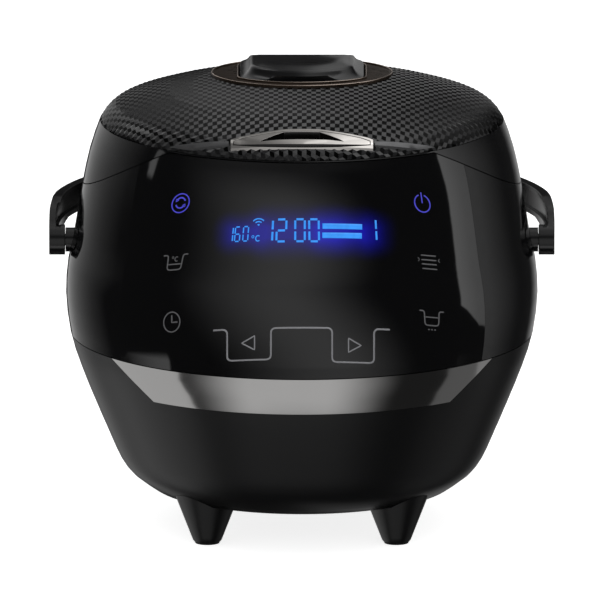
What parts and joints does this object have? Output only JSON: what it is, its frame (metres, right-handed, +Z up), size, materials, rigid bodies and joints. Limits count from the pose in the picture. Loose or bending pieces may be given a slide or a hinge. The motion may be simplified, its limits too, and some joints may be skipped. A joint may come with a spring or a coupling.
{
  "type": "multicooker",
  "caption": "Round countertop multicooker on four conical feet: hinged lid with push latch, removable steam cap, touch front, swing carry handle, lift-clear inner pot.",
  "frame": {"origin": "on the pot's axis, on the plane the feet stand on", "axes": "+Z up along the pot's axis, -Y out through the control panel, +X to the right of someone facing the panel"},
  "size_m": [0.3, 0.29, 0.2765],
  "materials": {
    "gloss_black": "high gloss moulded ABS",
    "panel_gloss": "high gloss tinted front",
    "satin_black": "satin moulded ABS",
    "relief_black": "relief moulded, semi gloss",
    "cap_black": "semi gloss moulded",
    "smoke_metal": "tinted metallic trim",
    "chrome": "bright plated",
    "bronze": "dark bronze metallic",
    "inner_plastic": "moulded",
    "liner_grey": "moulded",
    "aluminium": "stamped or cast",
    "steel": "zinc plated",
    "pot_coating": "non-stick coated aluminium",
    "silicone": "moulded silicone",
    "rubber": "moulded",
    "board": "glass epoxy board",
    "parts": "electronic parts",
    "contact": "plated"
  },
  "bodies": {
    "root": {"base_pan": "inner_plastic", "lower_body": "satin_black", "foot_front_left": "satin_black", "foot_front_right": "satin_black", "foot_rear_left": "satin_black", "foot_rear_right": "satin_black", "foot_pads": "rubber", "foot_screws": "steel", "trim_band": "smoke_metal", "upper_shell": "gloss_black", "control_panel": "panel_gloss", "touch_film": "board", "display_module": "inner_plastic", "control_board": "board", "control_chips": "parts", "deck": "inner_plastic", "well": "steel", "side_heater": "silicone", "heating_plate": "aluminium", "heating_element": "steel", "thermal_fuse": "parts", "sensor_spring": "steel", "sensor_guide": "inner_plastic", "inner_pot": "pot_coating", "power_inlet": "inner_plastic", "inlet_pins": "contact", "power_board": "board", "relay": "parts", "transformer": "parts", "capacitors": "parts", "drip_spout": "inner_plastic", "hinge_bracket": "satin_black", "hinge_pin": "steel", "latch_keeper": "steel", "handle_pivot_left": "satin_black", "handle_pivot_right": "satin_black"},
    "lid": {"lid_cover": "gloss_black", "lid_panel": "relief_black", "lid_liner": "liner_grey", "inner_lid_plate": "aluminium", "pot_seal": "silicone", "lid_heater": "parts", "valve_seat": "liner_grey", "valve_bezel": "bronze", "button_frame": "chrome", "wing_trims": "gloss_black", "lid_screws": "steel", "button_spring": "steel"},
    "handle": {"carry_handle": "satin_black"},
    "cap": {"steam_cap": "cap_black", "valve_gasket": "silicone"},
    "button": {"lid_button": "chrome"},
    "latch": {"latch_bolt": "liner_grey"},
    "cup": {"condensate_cup": "satin_black"},
    "sensor": {"sensor_cup": "aluminium"}
  },
  "joints": [
    {"name": "lid_hinge", "type": "hinge", "parent": "root", "child": "lid", "pos_m": [0, 0.128, 0.213], "axis": [-1, 0, 0], "range_deg": [0, 95]},
    {"name": "handle_swing", "type": "hinge", "parent": "root", "child": "handle", "pos_m": [0, 0, 0.1715], "axis": [1, 0, 0], "range_deg": [0, 90]},
    {"name": "cap_lift", "type": "slide", "parent": "lid", "child": "cap", "axis": [0, 0, 1], "range_m": [0, 0.03]},
    {"name": "button_press", "type": "slide", "parent": "lid", "child": "button", "axis": [0, 0, -1], "range_m": [0, 0.003], "stiffness_N_per_m": 700, "springref_m": -0.002, "deforming": ["button_spring"]},
    {"name": "latch_slide", "type": "slide", "parent": "lid", "child": "latch", "axis": [0, 1, 0], "range_m": [0, 0.0048]},
    {"name": "sensor_press", "type": "slide", "parent": "root", "child": "sensor", "axis": [0, 0, -1], "range_m": [0, 0.002], "stiffness_N_per_m": 400, "springref_m": -0.004, "deforming": ["sensor_spring"]},
    {"name": "cup_slide", "type": "slide", "parent": "root", "child": "cup", "axis": [0, 1, 0], "range_m": [0, 0.03]}
  ],
  "couplings": [
    {"joint": "latch_slide", "follows": "button_press", "ratio": 1.6}
  ]
}
